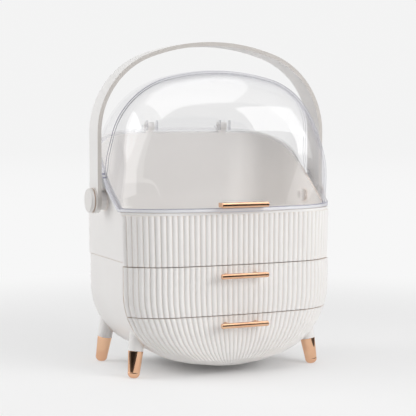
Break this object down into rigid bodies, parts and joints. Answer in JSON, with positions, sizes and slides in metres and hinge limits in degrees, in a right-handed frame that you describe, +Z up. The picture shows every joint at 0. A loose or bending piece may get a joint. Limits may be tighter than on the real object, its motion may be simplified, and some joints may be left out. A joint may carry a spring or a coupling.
{
  "type": "vanity storage box",
  "caption": "White vanity box with a clear domed flip lid over an open tray, fluted bow-fronted drawers with copper bar pulls, a folding arched carrying handle and splayed copper feet.",
  "frame": {"origin": "on the floor under the middle of the whole box", "axes": "+X to the right seen from the front, +Y to the back, +Z up"},
  "size_m": [0.294, 0.178, 0.3715],
  "materials": {
    "white_plastic": "satin warm white",
    "handle_plastic": "satin grey-white",
    "clear_plastic": "clear polished",
    "copper_plate": "polished rose-gold plating",
    "pin_steel": "plain bright steel"
  },
  "bodies": {
    "case": {"lower_case": "white_plastic", "drawer_shelf": "white_plastic", "upper_case": "white_plastic", "upper_front": "white_plastic", "foot_front_left": "copper_plate", "foot_front_right": "copper_plate", "foot_rear_left": "copper_plate", "foot_rear_right": "copper_plate", "hinge_pin_left": "pin_steel", "hinge_pin_right": "pin_steel"},
    "lid": {"lid": "clear_plastic", "lid_pull": "copper_plate", "lid_pull_screws": "pin_steel"},
    "handle": {"handle": "handle_plastic", "pivot_button_left": "handle_plastic", "pivot_button_right": "handle_plastic", "pivot_retainer_left": "handle_plastic", "pivot_retainer_right": "handle_plastic"},
    "middle_drawer": {"middle_drawer_tray": "white_plastic", "middle_drawer_front": "white_plastic", "middle_drawer_pull": "copper_plate", "middle_drawer_screws": "pin_steel"},
    "bottom_drawer": {"bottom_drawer_tray": "white_plastic", "bottom_drawer_front": "white_plastic", "bottom_drawer_pull": "copper_plate", "bottom_drawer_screws": "pin_steel"}
  },
  "joints": [
    {"name": "lid_hinge", "type": "hinge", "parent": "case", "child": "lid", "pos_m": [0, 0.084, 0.2755], "axis": [-1, 0, 0], "range_deg": [0, 95]},
    {"name": "handle_fold", "type": "hinge", "parent": "case", "child": "handle", "pos_m": [0, 0.0135, 0.194], "axis": [-1, 0, 0], "range_deg": [0, 104.5]},
    {"name": "middle_drawer_slide", "type": "slide", "parent": "case", "child": "middle_drawer", "axis": [0, -1, 0], "range_m": [0, 0.1]},
    {"name": "bottom_drawer_slide", "type": "slide", "parent": "case", "child": "bottom_drawer", "axis": [0, -1, 0], "range_m": [0, 0.1]}
  ],
  "couplings": [
    {"joint": "handle_fold", "follows": "lid_hinge", "ratio": 1.1}
  ]
}
